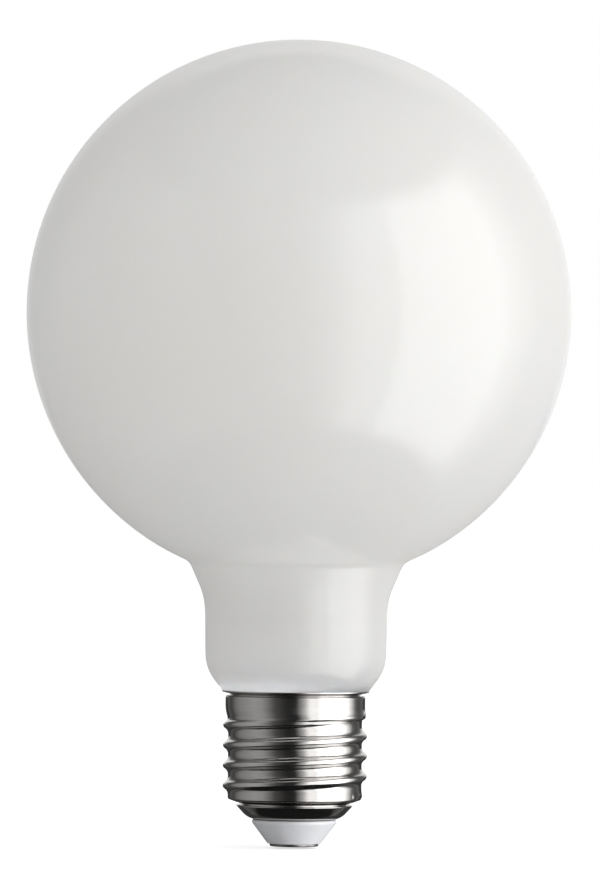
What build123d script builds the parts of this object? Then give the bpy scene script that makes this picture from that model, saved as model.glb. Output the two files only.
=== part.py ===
from math import atan2, ceil, cos, hypot, radians, sin, sqrt
import os

from build123d import *

# A globe lamp with a one-piece opal glass bulb and a rolled screw cap, in millimetres.
# The origin is the middle of the centre contact's outer face. The lamp's axis is +Z, with the globe on top.

# Opal glass
overall_length = 145.0
globe_radius = 49.0
shoulder_radius = 19.3  # where the sphere turns sharply into the neck
neck_top_radius = 16.5
neck_low_radius = 16.2
neck_foot_radius = 13.3
neck_top_share = 0.723  # of the height from the cap's rim to the shoulder, and so are the next three
neck_foot_share = 0.174  # the part that draws in towards the rim
neck_flare_share = 0.523  # rounding of the flare
neck_foot_round_share = 0.523
tuck_length = 6.0  # glass held inside the cap
tuck_clearance = 0.1

# Screw cap, one piece of rolled sheet
sheet = 0.25
rim_radius = 13.3
rim_rise = 0.45  # the rim flares up by this much
rim_groove_radius = 11.7
rim_groove_width = 0.25
rim_height = 0.85  # from the collar's top edge to the rim's top edge, groove included
collar_radius = 12.56
collar_height = 2.25
collar_taper = 2.0
collar_bevel = 0.2
root_radius = 12.02
thread_wall_height = 14.35
curl_height = 0.85
curl_radius = 9.95
curl_round = 0.4
fold_radius = 9.4
fold_gap = 0.3
bowl_radius = 10.6
bowl_knee_radius = 8.2
bowl_height = 2.6
bowl_round = 3.5
cap_hole_radius = 4.6

# Screw thread, rolled into the cap's wall
thread_pitch = 3.629
thread_depth = 1.05
crest_round = 0.4
flank_round = 1.2
thread_start_angle = -30.0
thread_low_gap = 0.15  # the ridge starts this far above the curl
thread_high_rise = 0.9  # and ends this far up the collar's taper
thread_fade = 0.6  # in turns, at each end
fade_end = 0.15  # share of the full ridge that is left at its very ends
thread_sink = 0.1  # the ridge's feet run this far into the wall
crest_chords = 2  # on each half of the crest
flank_chords = 2
steps_per_piece = 12

# Insulator
insulator_radius = 7.6
insulator_tip_radius = 4.8
insulator_height = 4.3
insulator_band = 0.6
insulator_bevel = 0.2
boss_height = 2.4
boss_clearance = 0.05

# Centre contact
contact_radius = 4.4
contact_thickness = 0.5
contact_bevel = 0.15
shank_radius = 1.2
shank_stand = 0.6  # stands above the insulator's boss
shank_clearance = 0.05

# Heights on the axis
insulator_top_z = contact_thickness + insulator_height
bowl_top_z = insulator_top_z + bowl_height
curl_z = bowl_top_z + fold_gap
wall_z = curl_z + curl_height
taper_z = wall_z + thread_wall_height
collar_z = taper_z + collar_taper
collar_top_z = collar_z + collar_height
rim_z = collar_top_z + rim_height
seat_z = rim_z - rim_rise
thread_low_z = wall_z + thread_low_gap
thread_turns = (taper_z + thread_high_rise - thread_low_z) / thread_pitch


def wall_radius(z):
    # Outer radius of the cap's plain wall at the height z
    share = min(max((z - taper_z) / collar_taper, 0.0), 1.0)
    return root_radius + share * (collar_radius - root_radius)


def ridge_share(turn):
    # Size of the ridge, as a share of the full one, at a number of turns from its lower end
    nearest_end = min(turn, thread_turns - turn)
    return fade_end + (1 - fade_end) * min(nearest_end / thread_fade, 1.0)


def ridge_plane(turn, inset):
    # The upright plane across the ridge, with X outwards from the wall and Y up
    angle = radians(thread_start_angle + 360 * turn)
    height = thread_low_z + thread_pitch * turn
    base = wall_radius(height) - inset
    return Plane(
        origin=(base * cos(angle), base * sin(angle), height),
        x_dir=(cos(angle), sin(angle), 0),
        z_dir=(sin(angle), -cos(angle), 0),
    )


def ridge_outline(inset):
    # Half of the ridge's outline, from its foot to the middle of its crest, as chords of a hollow flank arc
    # and a round crest arc that meet smoothly. Inset makes the crest smaller and the hollow larger.
    crest = crest_round - inset
    flank = flank_round + inset
    crest_x = thread_depth - crest
    flank_x = flank - thread_sink
    flank_y = sqrt((crest + flank) ** 2 - (flank_x - crest_x) ** 2)
    lean = atan2(flank_x - crest_x, flank_y)
    points = []
    for chord in range(flank_chords):
        angle = radians(90) + (lean - radians(90)) * chord / flank_chords
        points.append((flank_x - flank * sin(angle), flank_y - flank * cos(angle)))
    for chord in range(crest_chords + 1):
        angle = (radians(90) - lean) * (1 - chord / crest_chords)
        points.append((crest_x + crest * cos(angle), crest * sin(angle)))
    return points


def thread_ridge(inset):
    # The helical ridge, as lofts of about a turn each, joined end to end
    upper_half = ridge_outline(inset)
    lower_half = [(x, -y) for x, y in reversed(upper_half[:-1])]
    pieces = ceil(thread_turns)
    with BuildPart() as ridge:
        for piece in range(pieces):
            for step in range(steps_per_piece + 1):
                turn = thread_turns * (piece + step / steps_per_piece) / pieces
                size = ridge_share(turn)
                with BuildSketch(ridge_plane(turn, inset)):
                    with BuildLine():
                        Polyline(*[(x * size, y * size) for x, y in upper_half + lower_half], close=True)
                    make_face()
            loft()
    return ridge.part


# The opal globe and its neck are blown as one. The neck's end sits in the flared rim and is tucked into the cap.
globe_z = overall_length - globe_radius
shoulder_z = globe_z - sqrt(globe_radius**2 - shoulder_radius**2)
neck_height = shoulder_z - rim_z
bore_radius = rim_groove_radius - sheet
tuck_radius = bore_radius - tuck_clearance
rim_slope = rim_rise / (rim_radius - bore_radius)
with BuildPart() as opal_globe:
    with BuildSketch(Plane.XZ):
        with BuildLine():
            ThreePointArc((0, overall_length), (globe_radius, globe_z), (shoulder_radius, shoulder_z))
            FilletPolyline(
                (shoulder_radius, shoulder_z),
                (neck_top_radius, rim_z + neck_height * neck_top_share),
                (neck_low_radius, rim_z + neck_height * neck_foot_share),
                (neck_foot_radius, rim_z),
                radius=(neck_height * neck_flare_share, neck_height * neck_foot_round_share),
            )
            Polyline(
                (neck_foot_radius, rim_z),
                (tuck_radius, rim_z - rim_slope * (rim_radius - tuck_radius)),
                (tuck_radius, seat_z - tuck_length),
                (0, seat_z - tuck_length),
                (0, overall_length),
            )
        make_face()
    revolve(axis=Axis.Z)

# The cap's wall, from the flared rim down its outside to the hole in the bowl, and back up its inside.
# Each point is a radius, a height and the rounding of that corner.
curl_lean = hypot(curl_height, root_radius - curl_radius) / (root_radius - curl_radius)
bowl_slope = (bowl_radius - bowl_knee_radius) / bowl_height
inner_knee_radius = bowl_knee_radius + sheet * (bowl_slope - hypot(1, bowl_slope))
inner_fold_z = insulator_top_z + sheet + (fold_radius - sheet - inner_knee_radius) / bowl_slope
inner_wall_z = wall_z + sheet * (curl_lean - curl_height / (root_radius - curl_radius))
wall_outline = [
    (rim_radius, rim_z, 0),
    (rim_radius, rim_z - sheet, 0),
    (rim_groove_radius, collar_top_z + rim_groove_width, 0),
    (rim_groove_radius, collar_top_z, 0),
    (collar_radius - collar_bevel, collar_top_z, 0),
    (collar_radius, collar_top_z - collar_bevel, 0),
    (collar_radius, collar_z, 0),
    (root_radius, taper_z, 0),
    (root_radius, wall_z, curl_round),
    (curl_radius, curl_z, 0),
    (fold_radius, curl_z, 0),
    (fold_radius, bowl_top_z, 0),
    (bowl_radius, bowl_top_z, 0),
    (bowl_knee_radius, insulator_top_z, bowl_round),
    (cap_hole_radius, insulator_top_z, 0),
    (cap_hole_radius, insulator_top_z + sheet, 0),
    (inner_knee_radius, insulator_top_z + sheet, bowl_round - sheet),
    (fold_radius - sheet, inner_fold_z, 0),
    (fold_radius - sheet, curl_z + sheet * curl_lean, 0),
    (curl_radius, curl_z + sheet * curl_lean, 0),
    (root_radius - sheet, inner_wall_z, 0),
    (root_radius - sheet, taper_z, 0),
    (collar_radius - sheet, collar_z, 0),
    (collar_radius - sheet, collar_top_z - sheet, 0),
    (bore_radius, collar_top_z - sheet, 0),
    (bore_radius, seat_z, 0),
]

# The cap is one piece of sheet: flared rim, groove, collar, screw thread and folded bowl.
outer_ridge = thread_ridge(0)
inner_ridge = thread_ridge(sheet)
with BuildPart() as screw_shell:
    with BuildSketch(Plane.XZ):
        with BuildLine():
            FilletPolyline(
                *[(radius, height) for radius, height, rounding in wall_outline],
                radius=[rounding for radius, height, rounding in wall_outline],
                close=True,
            )
        make_face()
    revolve(axis=Axis.Z)
    add(outer_ridge)
    add(inner_ridge, mode=Mode.SUBTRACT)

# The insulator's cone shows below the cap, and its boss passes up through the cap's hole.
boss_radius = cap_hole_radius - boss_clearance
boss_top_z = insulator_top_z + boss_height
with BuildPart() as insulator:
    with BuildSketch(Plane.XZ):
        with BuildLine():
            Polyline(
                (0, contact_thickness),
                (insulator_tip_radius, contact_thickness),
                (insulator_radius, insulator_top_z - insulator_band),
                (insulator_radius, insulator_top_z - insulator_bevel),
                (insulator_radius - insulator_bevel, insulator_top_z),
                (boss_radius, insulator_top_z),
                (boss_radius, boss_top_z),
                (0, boss_top_z),
                close=True,
            )
        make_face()
    revolve(axis=Axis.Z)
    with Locations((0, 0, boss_top_z)):
        Hole(shank_radius + shank_clearance)

# The centre contact is a disc on a shank that carries the live lead.
with BuildPart() as centre_contact:
    Cylinder(contact_radius, contact_thickness, align=(Align.CENTER, Align.CENTER, Align.MIN))
    chamfer(centre_contact.edges().group_by(Axis.Z)[0], contact_bevel)
    Cylinder(shank_radius, boss_top_z + shank_stand, align=(Align.CENTER, Align.CENTER, Align.MIN))

opal_globe.part.label = "opal_globe"
screw_shell.part.label = "screw_shell"
insulator.part.label = "insulator"
centre_contact.part.label = "centre_contact"

os.makedirs("parts", exist_ok=True)
export_step(opal_globe.part, "parts/opal_globe.step")
export_step(screw_shell.part, "parts/screw_shell.step")
export_step(insulator.part, "parts/insulator.step")
export_step(centre_contact.part, "parts/centre_contact.step")
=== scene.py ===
# A round opal glass lamp with a rolled screw cap, standing on its contact. Metres, lamp's axis on Z.
import math

import bpy
import numpy as np
from mathutils import Matrix, Vector


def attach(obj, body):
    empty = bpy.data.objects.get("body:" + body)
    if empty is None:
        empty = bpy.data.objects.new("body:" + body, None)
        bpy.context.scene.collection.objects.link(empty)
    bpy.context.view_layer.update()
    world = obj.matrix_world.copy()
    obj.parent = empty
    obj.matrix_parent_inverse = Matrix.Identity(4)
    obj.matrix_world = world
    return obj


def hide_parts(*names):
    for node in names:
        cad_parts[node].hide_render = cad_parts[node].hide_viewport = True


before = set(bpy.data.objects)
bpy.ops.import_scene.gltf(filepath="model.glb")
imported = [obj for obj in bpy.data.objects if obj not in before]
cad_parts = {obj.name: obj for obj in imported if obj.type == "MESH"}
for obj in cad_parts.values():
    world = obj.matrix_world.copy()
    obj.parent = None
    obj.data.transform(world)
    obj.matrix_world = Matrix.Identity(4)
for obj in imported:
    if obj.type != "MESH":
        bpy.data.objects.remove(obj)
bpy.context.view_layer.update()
scene = bpy.context.scene
scene.view_settings.view_transform = "Standard"
mm = 0.001
print("frame loaded")


# ---- drawing and turning ----

def startOutline(radius, height):
    # one vertex at the first point of an outline, left in edit mode
    bpy.ops.object.select_all(action="DESELECT")
    bpy.ops.mesh.primitive_plane_add(size=0.01)
    bpy.ops.object.mode_set(mode="EDIT")
    bpy.ops.mesh.merge(type="CENTER")
    bpy.ops.transform.translate(value=(radius * mm, 0, height * mm))
    return radius, height


def drawTo(here, points):
    # the outline is drawn vertex by vertex
    for radius, height in points:
        step = ((radius - here[0]) * mm, 0, (height - here[1]) * mm)
        bpy.ops.mesh.extrude_vertices_move(TRANSFORM_OT_translate={"value": step})
        here = (radius, height)
    return here


def turnOutline(name, steps):
    # the outline is spun all the way round, and its seam and poles are merged
    bpy.ops.mesh.select_all(action="SELECT")
    bpy.ops.mesh.spin(steps=steps, angle=math.tau, center=(0, 0, 0), axis=(0, 0, 1))
    bpy.ops.mesh.select_all(action="SELECT")
    bpy.ops.mesh.remove_doubles(threshold=0.002 * mm)
    bpy.ops.mesh.normals_make_consistent(inside=False)
    bpy.ops.object.mode_set(mode="OBJECT")
    piece = bpy.context.active_object
    piece.name = name
    piece.data.name = name
    bpy.ops.object.shade_smooth()
    return piece


def rounded(corners, steps=6):
    # corners are (radius, height, rounding); each rounding becomes a short arc of vertices
    points = []
    for i, (x, y, size) in enumerate(corners):
        if size == 0 or i in (0, len(corners) - 1):
            points.append((x, y))
            continue
        before, after = corners[i - 1], corners[i + 1]
        inX, inY = before[0] - x, before[1] - y
        outX, outY = after[0] - x, after[1] - y
        inLength, outLength = math.hypot(inX, inY), math.hypot(outX, outY)
        inX, inY, outX, outY = inX / inLength, inY / inLength, outX / outLength, outY / outLength
        half = math.acos(max(-1, min(1, inX * outX + inY * outY))) / 2
        reach = min(size / math.tan(half), 0.49 * inLength, 0.49 * outLength)
        size = reach * math.tan(half)
        middleX, middleY = inX + outX, inY + outY
        middleLength = math.hypot(middleX, middleY)
        centreX = x + middleX / middleLength * size / math.sin(half)
        centreY = y + middleY / middleLength * size / math.sin(half)
        start = math.atan2(y + inY * reach - centreY, x + inX * reach - centreX)
        end = math.atan2(y + outY * reach - centreY, x + outX * reach - centreX)
        sweep = (end - start + math.pi) % math.tau - math.pi
        for k in range(steps + 1):
            angle = start + sweep * k / steps
            points.append((centreX + size * math.cos(angle), centreY + size * math.sin(angle)))
    return points


# ---- opal globe and neck ----

globeShape = {
    "radius": 48.975, "centre": 96.0, "shoulder": 19.3, "shoulderRound": 2.6, "shoulderBlend": 4.5,
    "neckTop": (16.5, 44.6), "neckLow": (16.2, 32.0), "foot": (13.3, 28.0),
    "flareRound": 12.0, "footRound": 12.0, "tuckRadius": 11.35, "tuckEnd": 21.55, "seat": 27.525,
    "arcSteps": 150, "turnSteps": 256,
}


def makeGlobe(s):
    # the sphere's arc stops short of the shoulder, where a small hollow leads on into the neck
    startOutline(0, s["centre"] + s["radius"])
    drop = math.sqrt(s["radius"] ** 2 - s["shoulder"] ** 2)
    sweep = math.pi - math.asin(s["shoulder"] / s["radius"]) - math.radians(s["shoulderBlend"])
    bpy.ops.mesh.spin(steps=s["arcSteps"], angle=sweep, center=(0, 0, s["centre"] * mm), axis=(0, -1, 0))
    arcEnd = (s["radius"] * math.sin(sweep), s["centre"] + s["radius"] * math.cos(sweep))
    neck = rounded([
        (*arcEnd, 0),
        (s["shoulder"], s["centre"] - drop, s["shoulderRound"]),
        (*s["neckTop"], s["flareRound"]),
        (*s["neckLow"], s["footRound"]),
        (*s["foot"], 0),
    ], steps=16)
    seat = [(s["tuckRadius"], s["seat"]), (s["tuckRadius"], s["tuckEnd"]), (0, s["tuckEnd"])]
    drawTo(arcEnd, neck[1:] + seat)
    return turnOutline("opalGlobe", s["turnSteps"])


globe = makeGlobe(globeShape)
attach(globe, "root")
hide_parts("opal_globe")
print("globe turned")


# ---- screw cap ----

capShape = {
    "sheet": 0.25, "rim": 13.3, "rimTop": 28.0, "rimRise": 0.45, "rimLean": 0.02, "lipRound": 0.06,
    "rimRound": 0.1, "grooveRadius": 11.7, "grooveTop": 27.3, "grooveRound": 0.12,
    "collar": 12.56, "collarTop": 27.08, "collarRound": 0.28, "collarEdge": 0.5,
    "root": 12.02, "taperFoot": 22.75, "taperShort": 0.5, "taperLong": 2.65, "taperBend": 1.3,
    "wallFoot": 8.55, "curlRadius": 9.95, "curlFoot": 7.7, "curlDrop": 0.1, "curlRound": 0.4,
    "curlEndRound": 0.12,
    "fold": 9.4, "foldRound": 0.06, "bowlTop": 7.4, "bowlTopRound": 0.1, "bowl": 10.6, "bowlKnee": 8.2,
    "bowlFoot": 4.8, "bowlRound": 3.5, "hole": 4.6, "ringGap": 0.085, "turnSteps": 288,
    "inset": 0.4, "kneeInset": 0.9, "foldRise": 0.3, "wallRise": 0.35, "collarDepth": 2.0,
}
threadShape = {
    "pitch": 3.629, "depth": 0.93, "crestRound": 0.7, "rootRound": 1.25, "flank": 58,
    "start": 8.7, "startAngle": -30.0, "turns": 4.161, "fade": 0.6, "fadeEnd": 0.1,
}


def ridgeHeight(away, t):
    # how far the thread stands out at a distance from the middle of its crest, along the axis:
    # a round crest, a straight flank and a hollow root
    slope = math.radians(t["flank"])
    crestEnd = t["crestRound"] * math.sin(slope)
    rise = t["depth"] - (t["crestRound"] + t["rootRound"]) * (1 - math.cos(slope))
    flankEnd = crestEnd + rise / math.tan(slope)
    rootEnd = flankEnd + t["rootRound"] * math.sin(slope)
    if away < crestEnd:
        return t["depth"] - t["crestRound"] + math.sqrt(t["crestRound"] ** 2 - away ** 2)
    if away < flankEnd:
        return t["depth"] - t["crestRound"] * (1 - math.cos(slope)) - (away - crestEnd) * math.tan(slope)
    if away < rootEnd:
        return t["rootRound"] - math.sqrt(t["rootRound"] ** 2 - (rootEnd - away) ** 2)
    return 0.0


def smoothStep(x):
    x = max(0.0, min(1.0, x))
    return x * x * (3 - 2 * x)


def rolledRadius(angle, height, c, t):
    # the rolled wall's radius at an angle in degrees and a height
    far = (0.5 - 0.5 * math.cos(math.radians(angle))) ** c["taperBend"]
    taper = c["taperShort"] + (c["taperLong"] - c["taperShort"]) * far
    above = max(0.0, min(1.0, (height - c["taperFoot"]) / taper))
    wall = c["root"] + (c["collar"] - c["root"]) * (1 - (1 - above) ** 2)
    along = (angle - t["startAngle"]) % 360 / 360
    strand = round((height - t["start"]) / t["pitch"] - along)
    strand = max(0, min(strand, math.floor(t["turns"] - along)))
    turn = strand + along
    away = abs(height - t["start"] - t["pitch"] * turn)
    share = smoothStep(min(turn, t["turns"] - turn) / t["fade"])
    share = t["fadeEnd"] + (1 - t["fadeEnd"]) * share
    return wall + share * ridgeHeight(away, t)


def makeCap(c, t):
    top = rounded([
        (c["grooveRadius"] - c["sheet"], c["rimTop"] - c["rimRise"], 0),
        (c["rim"] - c["rimLean"], c["rimTop"], c["lipRound"]),
        (c["rim"], c["rimTop"] - c["sheet"], c["rimRound"]),
        (c["grooveRadius"], c["grooveTop"], c["grooveRound"]),
        (c["grooveRadius"], c["collarTop"], c["grooveRound"]),
        (c["collar"], c["collarTop"], c["collarRound"]),
        (c["collar"], c["collarTop"] - c["collarEdge"], 0),
    ])
    foot = rounded([
        (c["root"], c["wallFoot"] + c["curlRound"], 0),
        (c["root"], c["wallFoot"] - c["curlDrop"], c["curlRound"]),
        (c["curlRadius"], c["curlFoot"], c["curlEndRound"]),
        (c["fold"], c["curlFoot"], c["foldRound"]),
        (c["fold"], c["bowlTop"], c["foldRound"]),
        (c["bowl"], c["bowlTop"], c["bowlTopRound"]),
        (c["bowlKnee"], c["bowlFoot"], c["bowlRound"]),
        (c["hole"], c["bowlFoot"], 0),
    ], steps=8)
    rings = math.ceil((top[-1][1] - foot[0][1]) / c["ringGap"])
    wall = [(c["root"], top[-1][1] + (foot[0][1] - top[-1][1]) * k / rings) for k in range(1, rings)]
    inside = [
        (c["hole"], c["bowlFoot"] + c["sheet"]),
        (c["bowlKnee"] - c["kneeInset"], c["bowlFoot"] + c["sheet"]),
        (c["fold"] - c["sheet"], c["bowlTop"] - c["foldRise"]),
        (c["fold"] - c["sheet"], c["curlFoot"] + c["foldRise"]),
        (c["root"] - c["inset"], c["wallFoot"] + c["wallRise"]),
        (c["root"] - c["inset"], c["taperFoot"]),
        (c["collar"] - c["inset"], c["collarTop"] - c["collarDepth"]),
        (c["collar"] - c["inset"], c["collarTop"] - c["sheet"]),
        (c["grooveRadius"] - c["sheet"], c["collarTop"] - c["sheet"]),
        top[0],
    ]
    drawTo(startOutline(*top[0]), top[1:] + wall + foot + inside)
    piece = turnOutline("screwCap", c["turnSteps"])
    # the thread is rolled into the wall: each vertex of it moves in or out to the thread's own radius
    spots = np.empty(len(piece.data.vertices) * 3)
    piece.data.vertices.foreach_get("co", spots)
    spots = spots.reshape(-1, 3)
    wallFoot, wallTop = foot[0][1] - 0.01, top[-1][1] - 0.01
    for spot in spots:
        radius, height = math.hypot(spot[0], spot[1]) / mm, spot[2] / mm
        if radius > c["root"] - c["inset"] / 2 and wallFoot < height < wallTop:
            angle = math.degrees(math.atan2(spot[1], spot[0]))
            factor = rolledRadius(angle, height, c, t) / radius
            spot[0] *= factor
            spot[1] *= factor
    piece.data.vertices.foreach_set("co", spots.ravel())
    piece.data.update()
    return piece


cap = makeCap(capShape, threadShape)
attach(cap, "root")
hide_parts("screw_shell")
print("cap rolled")


# ---- insulator ----

insulatorShape = {
    "tip": 4.8, "foot": 0.5, "tipRound": 0.2, "radius": 7.6, "bandFoot": 4.2, "bandRound": 0.5,
    "top": 4.8, "topRound": 0.28, "boss": 4.55, "bossTop": 7.2, "bossRound": 0.1, "bore": 1.25,
    "turnSteps": 144,
}


def makeInsulator(s):
    points = rounded([
        (s["bore"], s["foot"], 0),
        (s["tip"], s["foot"], s["tipRound"]),
        (s["radius"], s["bandFoot"], s["bandRound"]),
        (s["radius"], s["top"], s["topRound"]),
        (s["boss"], s["top"], 0),
        (s["boss"], s["bossTop"], s["bossRound"]),
        (s["bore"], s["bossTop"], 0),
        (s["bore"], s["foot"], 0),
    ])
    drawTo(startOutline(*points[0]), points[1:])
    return turnOutline("insulatorCone", s["turnSteps"])


insulator = makeInsulator(insulatorShape)
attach(insulator, "root")
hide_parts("insulator")
print("insulator turned")


# ---- finishes ----

def newMaterial(name):
    material = bpy.data.materials.new(name)
    material.use_nodes = True
    nodes, links = material.node_tree.nodes, material.node_tree.links
    return material, nodes, links, nodes["Principled BSDF"]


def addNode(nodes, kind, x, y, **settings):
    node = nodes.new(kind)
    node.location = (x, y)
    for key, value in settings.items():
        setattr(node, key, value)
    return node


marksLook = {
    "patchDetail": 4, "patchRoughness": 0.55, "patchRange": (0.35, 0.65), "grainDetail": 2,
    "markStretch": (0.25, 0.25, 1.6), "markScale": 9, "markWidth": 0.03,
}


def makeMarksGroup(s):
    # soft patches, fine marks and grain, shared by every finish
    group = bpy.data.node_groups.new("surfaceMarks", "ShaderNodeTree")
    face = group.interface
    face.new_socket("Vector", in_out="INPUT", socket_type="NodeSocketVector")
    patchSize = face.new_socket("Patch Scale", in_out="INPUT", socket_type="NodeSocketFloat")
    grainSize = face.new_socket("Grain Scale", in_out="INPUT", socket_type="NodeSocketFloat")
    patchSize.default_value, grainSize.default_value = 40, 2500
    face.new_socket("Patches", in_out="OUTPUT", socket_type="NodeSocketFloat")
    face.new_socket("Marks", in_out="OUTPUT", socket_type="NodeSocketFloat")
    face.new_socket("Grain", in_out="OUTPUT", socket_type="NodeSocketFloat")
    nodes, links = group.nodes, group.links
    source = addNode(nodes, "NodeGroupInput", -800, 0)
    sink = addNode(nodes, "NodeGroupOutput", 500, 0)
    patches = addNode(nodes, "ShaderNodeTexNoise", -400, 300)
    patches.inputs["Detail"].default_value = s["patchDetail"]
    patches.inputs["Roughness"].default_value = s["patchRoughness"]
    spread = addNode(nodes, "ShaderNodeMapRange", -100, 300)
    spread.inputs["From Min"].default_value, spread.inputs["From Max"].default_value = s["patchRange"]
    grain = addNode(nodes, "ShaderNodeTexNoise", -400, -300)
    grain.inputs["Detail"].default_value = s["grainDetail"]
    marks = addNode(nodes, "ShaderNodeTexVoronoi", -400, 0, feature="DISTANCE_TO_EDGE")
    warp = addNode(nodes, "ShaderNodeVectorMath", -600, 0, operation="MULTIPLY_ADD")
    warp.inputs[1].default_value = s["markStretch"]
    finer = addNode(nodes, "ShaderNodeMath", -600, -150, operation="MULTIPLY")
    finer.inputs[1].default_value = s["markScale"]
    thin = addNode(nodes, "ShaderNodeMapRange", -100, 0)
    thin.inputs["From Min"].default_value = 0.0
    thin.inputs["From Max"].default_value = s["markWidth"]
    thin.inputs["To Min"].default_value = 1.0
    thin.inputs["To Max"].default_value = 0.0
    only = addNode(nodes, "ShaderNodeMath", 200, 0, operation="MULTIPLY")
    links.new(source.outputs["Vector"], patches.inputs["Vector"])
    links.new(source.outputs["Patch Scale"], patches.inputs["Scale"])
    links.new(source.outputs["Vector"], grain.inputs["Vector"])
    links.new(source.outputs["Grain Scale"], grain.inputs["Scale"])
    links.new(source.outputs["Vector"], warp.inputs[0])
    links.new(source.outputs["Vector"], warp.inputs[2])
    links.new(warp.outputs["Vector"], marks.inputs["Vector"])
    links.new(source.outputs["Patch Scale"], finer.inputs[0])
    links.new(finer.outputs["Value"], marks.inputs["Scale"])
    links.new(patches.outputs["Fac"], spread.inputs["Value"])
    links.new(marks.outputs["Distance"], thin.inputs["Value"])
    links.new(thin.outputs["Result"], only.inputs[0])
    links.new(spread.outputs["Result"], only.inputs[1])
    links.new(spread.outputs["Result"], sink.inputs["Patches"])
    links.new(only.outputs["Value"], sink.inputs["Marks"])
    links.new(grain.outputs["Fac"], sink.inputs["Grain"])
    return group


marksGroup = makeMarksGroup(marksLook)


def addMarks(nodes, links, s):
    # object coordinates through a mapping into the shared marks
    place = addNode(nodes, "ShaderNodeTexCoord", -1400, 0)
    mapping = addNode(nodes, "ShaderNodeMapping", -1200, 0)
    mapping.inputs["Scale"].default_value = s["stretch"]
    marks = addNode(nodes, "ShaderNodeGroup", -1000, 0, node_tree=marksGroup)
    marks.inputs["Patch Scale"].default_value = s["patchScale"]
    marks.inputs["Grain Scale"].default_value = s["grainScale"]
    links.new(place.outputs["Object"], mapping.inputs["Vector"])
    links.new(mapping.outputs["Vector"], marks.inputs["Vector"])
    return place, marks


def ramp(nodes, links, value, low, high, x, y):
    # value 0 to 1 becomes low to high
    node = addNode(nodes, "ShaderNodeMapRange", x, y)
    node.inputs["To Min"].default_value = low
    node.inputs["To Max"].default_value = high
    links.new(value, node.inputs["Value"])
    return node.outputs["Result"]


def blendColour(nodes, links, value, first, second, x, y):
    node = addNode(nodes, "ShaderNodeMix", x, y, data_type="RGBA")
    node.inputs[6].default_value = (*first, 1)
    node.inputs[7].default_value = (*second, 1)
    links.new(value, node.inputs[0])
    return node.outputs[2]


def addBump(nodes, links, shader, height, strength, depth):
    # fine relief, its depth in metres
    bump = addNode(nodes, "ShaderNodeBump", -300, -300)
    bump.inputs["Strength"].default_value = strength
    bump.inputs["Distance"].default_value = depth
    links.new(height, bump.inputs["Height"])
    links.new(bump.outputs["Normal"], shader.inputs["Normal"])


def addStops(shade, stops):
    # grey stops from left to right; the first and last are the two that a new ramp has
    for at, level in stops[1:-1]:
        shade.color_ramp.elements.new(at)
    for stop, (at, level) in zip(shade.color_ramp.elements, stops):
        stop.color = (level, level, level, 1)


glassFinish = {
    "colour": (0.86, 0.86, 0.856), "warm": (0.86, 0.848, 0.825), "gloss": (0.10, 0.15),
    "coat": 0.25, "coatIndex": 2.5, "coatGloss": 0.125,
    "glow": 1.0, "glowReach": 0.03, "glowTint": (1, 0.95, 0.85),
    "wave": 0.02, "depth": 0.0005, "stretch": (1, 1, 1), "patchScale": 22, "grainScale": 900,
    # neck stops by height: a lighter foot as painted light, then a greyer neck, partly thinner coat and
    # partly painted shade
    "neckFrom": 0.028, "neckTo": 0.052, "neckCoatAndPaintedLight": [(0, 1.12), (0.14, 0.88), (0.55, 0.88), (1, 1.0)],
}


def opalGlass(s):
    material, nodes, links, shader = newMaterial("opalGlass")
    place, marks = addMarks(nodes, links, s)
    # the opal coat is thinner on the neck; the neck is painted a little greyer, partly for that coat and
    # partly as painted shade under the globe, and its foot is painted lighter as painted light above the
    # rim
    split = addNode(nodes, "ShaderNodeSeparateXYZ", -1000, 500)
    height = addNode(nodes, "ShaderNodeMapRange", -800, 500)
    height.inputs["From Min"].default_value = s["neckFrom"]
    height.inputs["From Max"].default_value = s["neckTo"]
    coat = addNode(nodes, "ShaderNodeValToRGB", -600, 500)
    addStops(coat, s["neckCoatAndPaintedLight"])
    coatedAndPaintedLight = addNode(nodes, "ShaderNodeMix", -300, 400, data_type="RGBA", blend_type="MULTIPLY")
    coatedAndPaintedLight.inputs["Factor"].default_value = 1
    links.new(place.outputs["Object"], split.inputs[0])
    links.new(split.outputs["Z"], height.inputs["Value"])
    links.new(height.outputs["Result"], coat.inputs["Fac"])
    links.new(blendColour(nodes, links, marks.outputs["Patches"], s["colour"], s["warm"], -600, 200),
              coatedAndPaintedLight.inputs[6])
    links.new(coat.outputs["Color"], coatedAndPaintedLight.inputs[7])
    links.new(coatedAndPaintedLight.outputs[2], shader.inputs["Base Color"])
    gloss = ramp(nodes, links, marks.outputs["Patches"], *s["gloss"], -600, 0)
    links.new(gloss, shader.inputs["Roughness"])
    # a thin dense coat mirrors as glass does from the front, and less at the globe's edge
    shader.inputs["Specular IOR Level"].default_value = 0
    shader.inputs["Coat Weight"].default_value = s["coat"]
    shader.inputs["Coat Roughness"].default_value = s["coatGloss"]
    shader.inputs["Coat IOR"].default_value = s["coatIndex"]
    shader.inputs["Subsurface Weight"].default_value = s["glow"]
    shader.inputs["Subsurface Radius"].default_value = s["glowTint"]
    shader.inputs["Subsurface Scale"].default_value = s["glowReach"]
    addBump(nodes, links, shader, marks.outputs["Patches"], s["wave"], s["depth"])
    return material


capFinish = {
    "bright": (0.66, 0.65, 0.64), "dull": (0.52, 0.505, 0.49), "gloss": (0.09, 0.17),
    "crest": (12.5, 13.1), "crestWear": 0.6, "patchWear": 0.4, "rollMarks": 0.05, "depth": 0.0002,
    "stretch": (1, 1, 14), "patchScale": 60, "grainScale": 700,
}


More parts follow.
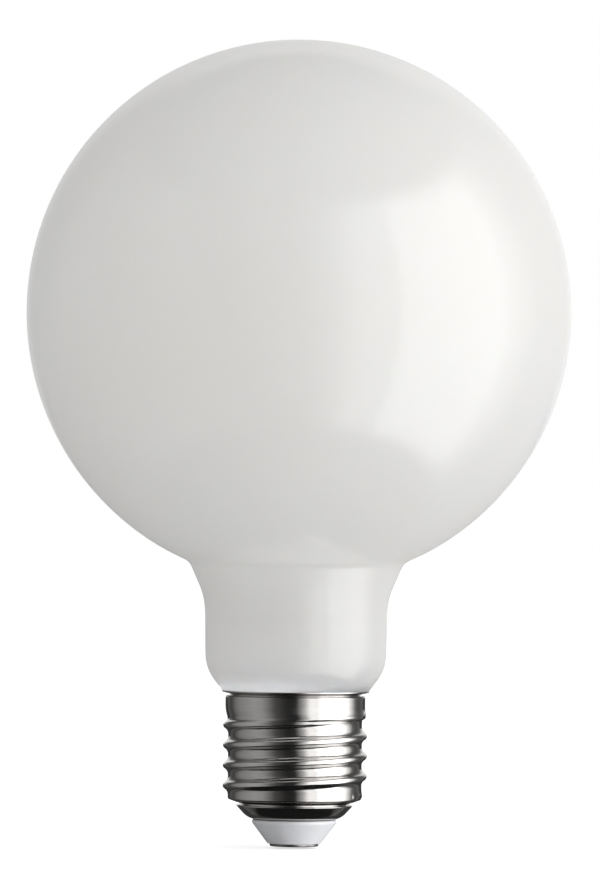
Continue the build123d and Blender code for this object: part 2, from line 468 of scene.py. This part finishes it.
def nickelledSheet(s):
    material, nodes, links, shader = newMaterial("nickelledSheet")
    place, marks = addMarks(nodes, links, s)
    # the nickel is brighter where the thread's crest has been rubbed
    across = addNode(nodes, "ShaderNodeVectorMath", -1200, 300, operation="MULTIPLY")
    across.inputs[1].default_value = (1000, 1000, 0)
    length = addNode(nodes, "ShaderNodeVectorMath", -1000, 300, operation="LENGTH")
    crest = addNode(nodes, "ShaderNodeMapRange", -800, 300)
    crest.inputs["From Min"].default_value, crest.inputs["From Max"].default_value = s["crest"]
    links.new(place.outputs["Object"], across.inputs[0])
    links.new(across.outputs["Vector"], length.inputs[0])
    links.new(length.outputs["Value"], crest.inputs["Value"])
    worn = addNode(nodes, "ShaderNodeMath", -600, 300, operation="MULTIPLY_ADD", use_clamp=True)
    worn.inputs[1].default_value = s["crestWear"]
    links.new(crest.outputs["Result"], worn.inputs[0])
    links.new(ramp(nodes, links, marks.outputs["Patches"], 0, s["patchWear"], -800, 100), worn.inputs[2])
    links.new(blendColour(nodes, links, worn.outputs["Value"], s["dull"], s["bright"], -400, 300),
              shader.inputs["Base Color"])
    gloss = ramp(nodes, links, marks.outputs["Patches"], *s["gloss"], -400, 0)
    links.new(gloss, shader.inputs["Roughness"])
    shader.inputs["Metallic"].default_value = 1
    addBump(nodes, links, shader, marks.outputs["Grain"], s["rollMarks"], s["depth"])
    return material


# the white insulator is painted grey all over, as painted shade so that its left side reads dark; the
# foot lamp lights its right side
insulatorFinish = {
    "colour": (0.65, 0.655, 0.68), "dusty": (0.61, 0.615, 0.63), "gloss": (0.28, 0.4), "grain": 0.04,
    "depth": 0.0001, "stretch": (1, 1, 1), "patchScale": 260, "grainScale": 4000,
}


def whiteInsulator(s):
    material, nodes, links, shader = newMaterial("whiteInsulator")
    marks = addMarks(nodes, links, s)[1]
    # the greyed colour, with dust in patches; the grey is painted shade
    links.new(blendColour(nodes, links, marks.outputs["Patches"], s["colour"], s["dusty"], -600, 200),
              shader.inputs["Base Color"])
    gloss = ramp(nodes, links, marks.outputs["Patches"], *s["gloss"], -600, 0)
    links.new(gloss, shader.inputs["Roughness"])
    addBump(nodes, links, shader, marks.outputs["Grain"], s["grain"], s["depth"])
    return material


contactFinish = {
    "bright": (0.30, 0.295, 0.285), "dull": (0.17, 0.165, 0.16), "gloss": (0.4, 0.6), "scratches": 0.15,
    "depth": 0.0001, "stretch": (1, 3, 1), "patchScale": 300, "grainScale": 3000,
}


def contactMetal(s):
    material, nodes, links, shader = newMaterial("contactMetal")
    marks = addMarks(nodes, links, s)[1]
    links.new(blendColour(nodes, links, marks.outputs["Patches"], s["dull"], s["bright"], -600, 200),
              shader.inputs["Base Color"])
    gloss = ramp(nodes, links, marks.outputs["Marks"], *s["gloss"], -600, 0)
    links.new(gloss, shader.inputs["Roughness"])
    shader.inputs["Metallic"].default_value = 1
    addBump(nodes, links, shader, marks.outputs["Grain"], s["scratches"], s["depth"])
    return material


def giveFinish(piece, material):
    piece.data.materials.clear()
    piece.data.materials.append(material)


giveFinish(globe, opalGlass(glassFinish))
giveFinish(cap, nickelledSheet(capFinish))
giveFinish(insulator, whiteInsulator(insulatorFinish))
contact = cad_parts["centre_contact"]
contactMaterial = contactMetal(contactFinish)
for slot in contact.material_slots:
    slot.material = contactMaterial
print("finishes made")


# ---- studio ----

studio = {
    "fill": 0.59, "floorLevel": -0.0004, "floorSize": 8, "floorShine": 0.6, "floorColour": 0.82,
    "floorRoughness": 0.9,
}
# name, degrees to the right of the camera, power
softLamps = [("keyLamp", 66, 3.2), ("rimLamp", 122, 1.2), ("frontLamp", -5, 1.25)]
softShape = {"distance": 0.75, "size": (0.9, 1.2), "height": 0.08}
footLamp = {
    "power": 7.0, "spread": 4.5, "blend": 0.6, "radius": 0.012, "azimuth": 70, "distance": 0.5,
    "height": -0.08, "aim": 0.003,
}
bandLamp = {
    "power": 0.0021, "spread": 0.6, "size": (0.05, 0.001), "azimuth": -35, "distance": 0.3,
    "height": 0.0274,
}
# the surroundings that the metal mirrors: one round wall, its brightness given at degrees to the
# right of the camera
wallShape = {"radius": 0.6, "low": -0.68, "high": 0.76, "soft": 0.2, "full": 3.6, "sides": 180}
wallLight = [
    (-180, 1.0), (-162, 0.9), (-148, 0.15), (-130, 0.07), (-108, 0.31), (-72, 0.47), (-56, 0.42),
    (-34, 0.10), (-14, 0.03), (2, 0.03), (16, 0.7), (24, 1.65), (41, 1.6), (43, 2.9), (92, 2.9),
    (97, 1.8), (116, 0.17), (130, 0.09), (148, 0.2), (162, 0.9), (180, 1.0),
]
# name, height, radius, brightness
roundCards = [("topCard", 0.78, 1.3, 0.03), ("bottomCard", -0.72, 1.3, 0.012)]
backFlag = {"distance": 0.5, "width": 0.72, "low": -0.7, "high": 0.022, "brightness": 0.05}


def lightOnly(name, brightness):
    # plain light or dark for a card
    material, nodes, links, shader = newMaterial(name)
    nodes.remove(shader)
    glow = addNode(nodes, "ShaderNodeEmission", 0, 0)
    glow.inputs["Strength"].default_value = brightness
    links.new(glow.outputs[0], nodes["Material Output"].inputs["Surface"])
    return material, nodes, links, glow


def addCard(name, material):
    # the piece just added becomes a card that only reflections see
    card = bpy.context.active_object
    card.name = name
    giveFinish(card, material)
    card.visible_camera = False
    card.visible_diffuse = False
    card.visible_transmission = False
    card.visible_shadow = False


def wallMaterial(s, light):
    # the stops run round the wall, and its top and bottom edges fade out
    material, nodes, links, glow = lightOnly("cardWall", 0)
    place = addNode(nodes, "ShaderNodeTexCoord", -1200, 0)
    split = addNode(nodes, "ShaderNodeSeparateXYZ", -1000, 0)
    back = addNode(nodes, "ShaderNodeMath", -850, -100, operation="MULTIPLY")
    back.inputs[1].default_value = -1
    angle = addNode(nodes, "ShaderNodeMath", -700, 0, operation="ARCTAN2")
    turn = addNode(nodes, "ShaderNodeMapRange", -550, 0)
    turn.inputs["From Min"].default_value = -math.pi
    turn.inputs["From Max"].default_value = math.pi
    shade = addNode(nodes, "ShaderNodeValToRGB", -400, 0)
    addStops(shade, [((azimuth + 180) / 360, level / s["full"]) for azimuth, level in light])
    away = addNode(nodes, "ShaderNodeMath", -850, -300, operation="ABSOLUTE")
    edge = addNode(nodes, "ShaderNodeMapRange", -550, -300, interpolation_type="SMOOTHSTEP")
    half = (s["high"] - s["low"]) / 2
    edge.inputs["From Min"].default_value = half
    edge.inputs["From Max"].default_value = half - s["soft"]
    edge.inputs["To Max"].default_value = s["full"]
    strength = addNode(nodes, "ShaderNodeMath", -150, 0, operation="MULTIPLY")
    links.new(place.outputs["Object"], split.inputs[0])
    links.new(split.outputs["X"], angle.inputs[0])
    links.new(split.outputs["Y"], back.inputs[0])
    links.new(back.outputs[0], angle.inputs[1])
    links.new(angle.outputs[0], turn.inputs["Value"])
    links.new(turn.outputs["Result"], shade.inputs["Fac"])
    links.new(split.outputs["Z"], away.inputs[0])
    links.new(away.outputs[0], edge.inputs["Value"])
    links.new(shade.outputs["Color"], strength.inputs[0])
    links.new(edge.outputs["Result"], strength.inputs[1])
    links.new(strength.outputs[0], glow.inputs["Strength"])
    return material


def makeWall(s, light):
    bpy.ops.object.select_all(action="DESELECT")
    bpy.ops.mesh.primitive_cylinder_add(
        vertices=s["sides"], radius=s["radius"], depth=s["high"] - s["low"], end_fill_type="NOTHING",
        location=(0, 0, (s["high"] + s["low"]) / 2))
    addCard("cardWall", wallMaterial(s, light))


makeWall(wallShape, wallLight)


def makeBackFlag(s):
    # a dark card at the back, up to the cap's rim, so that the cap's edges stand out from the white
    bpy.ops.object.select_all(action="DESELECT")
    bpy.ops.mesh.primitive_plane_add(size=1, location=(0, s["distance"], (s["high"] + s["low"]) / 2),
                                     rotation=(math.pi / 2, 0, 0))
    bpy.context.active_object.scale = (s["width"], s["high"] - s["low"], 1)
    addCard("backFlag", lightOnly("backFlag", s["brightness"])[0])


makeBackFlag(backFlag)


def makeRoundCard(name, height, radius, brightness):
    bpy.ops.object.select_all(action="DESELECT")
    bpy.ops.mesh.primitive_circle_add(vertices=96, radius=radius, fill_type="NGON",
                                      location=(0, 0, height))
    addCard(name, lightOnly(name, brightness)[0])


for card in roundCards:
    makeRoundCard(*card)


def seenPlainly(nodes, links):
    # 1 for rays from the camera, a mirror or glass, and 0 for the light that falls on surfaces
    rays = addNode(nodes, "ShaderNodeLightPath", -900, 0)
    seen = addNode(nodes, "ShaderNodeMath", -700, 0, operation="MAXIMUM")
    seenToo = addNode(nodes, "ShaderNodeMath", -500, 0, operation="MAXIMUM")
    links.new(rays.outputs["Is Camera Ray"], seen.inputs[0])
    links.new(rays.outputs["Is Glossy Ray"], seen.inputs[1])
    links.new(seen.outputs[0], seenToo.inputs[0])
    links.new(rays.outputs["Is Transmission Ray"], seenToo.inputs[1])
    return seenToo.outputs[0]


def makeFloor(s):
    # the floor is lifted to white where it is seen, and keeps the lamp's shadow
    bpy.ops.object.select_all(action="DESELECT")
    bpy.ops.mesh.primitive_plane_add(size=s["floorSize"], location=(0, 0, s["floorLevel"]))
    floor = bpy.context.active_object
    floor.name = "floor"
    material, nodes, links, shader = newMaterial("paleFloor")
    shader.inputs["Base Color"].default_value = (s["floorColour"],) * 3 + (1,)
    shader.inputs["Roughness"].default_value = s["floorRoughness"]
    shader.inputs["Specular IOR Level"].default_value = 0
    shader.inputs["Emission Color"].default_value = (1, 1, 1, 1)
    shine = ramp(nodes, links, seenPlainly(nodes, links), 0, s["floorShine"], -200, 0)
    links.new(shine, shader.inputs["Emission Strength"])
    giveFinish(floor, material)
    floor.visible_shadow = False
    floor.visible_glossy = False


makeFloor(studio)


def makeWorld(s):
    # white where it is seen, and a grey fill for the light that falls on surfaces
    world = bpy.data.worlds.new("studioWorld")
    scene.world = world
    world.use_nodes = True
    nodes, links = world.node_tree.nodes, world.node_tree.links
    level = ramp(nodes, links, seenPlainly(nodes, links), s["fill"], 1, -300, 0)
    links.new(level, nodes["Background"].inputs["Strength"])
    nodes["Background"].inputs["Color"].default_value = (1, 1, 1, 1)


makeWorld(studio)


def placeLamp(name, kind, power, azimuth, distance, height, aim):
    # a lamp aimed at the axis, at the height of the aim; no mirror shows it
    lamp = bpy.data.lights.new(name, kind)
    lamp.energy = power
    turn = math.radians(azimuth)
    light = bpy.data.objects.new(name, lamp)
    scene.collection.objects.link(light)
    light.location = (distance * math.sin(turn), -distance * math.cos(turn), height)
    light.rotation_euler = (Vector((0, 0, aim)) - light.location).to_track_quat("-Z", "Y").to_euler()
    light.visible_camera = False
    light.visible_glossy = False
    return lamp


def makeSoftLamp(name, azimuth, power, s):
    lamp = placeLamp(name, "AREA", power, azimuth, s["distance"], s["height"], s["height"])
    lamp.shape = "RECTANGLE"
    lamp.size, lamp.size_y = s["size"]


for name, azimuth, power in softLamps:
    makeSoftLamp(name, azimuth, power, softShape)


def makeFootLamp(s):
    # a narrow low lamp from the right, for the white cone under the cap
    lamp = placeLamp("footLamp", "SPOT", s["power"], s["azimuth"], s["distance"], s["height"], s["aim"])
    lamp.spot_size = math.radians(s["spread"])
    lamp.spot_blend = s["blend"]
    lamp.shadow_soft_size = s["radius"]


makeFootLamp(footLamp)


def makeBandLamp(s):
    # a thin level beam from the front left, for the neck's foot above the rim
    lamp = placeLamp("bandLamp", "AREA", s["power"], s["azimuth"], s["distance"], s["height"],
                     s["height"])
    lamp.shape = "RECTANGLE"
    lamp.size, lamp.size_y = s["size"]
    lamp.spread = math.radians(s["spread"])


makeBandLamp(bandLamp)
print("studio lit")


# ---- camera ----

cameraPlace = {
    "distance": 1.4, "height": 0.0724, "side": 0.00039, "lens": 315.96, "sensor": 36, "lean": 0.5515,
}


def makeCamera(s):
    data = bpy.data.cameras.new("camera")
    data.lens = s["lens"]
    data.sensor_width = s["sensor"]
    camera = bpy.data.objects.new("camera", data)
    scene.collection.objects.link(camera)
    camera.location = (s["side"], -s["distance"], s["height"])
    level = Matrix.Rotation(math.pi / 2, 3, "X") @ Matrix.Rotation(math.radians(s["lean"]), 3, "Z")
    camera.rotation_euler = level.to_euler()
    scene.camera = camera


makeCamera(cameraPlace)

print("camera set")
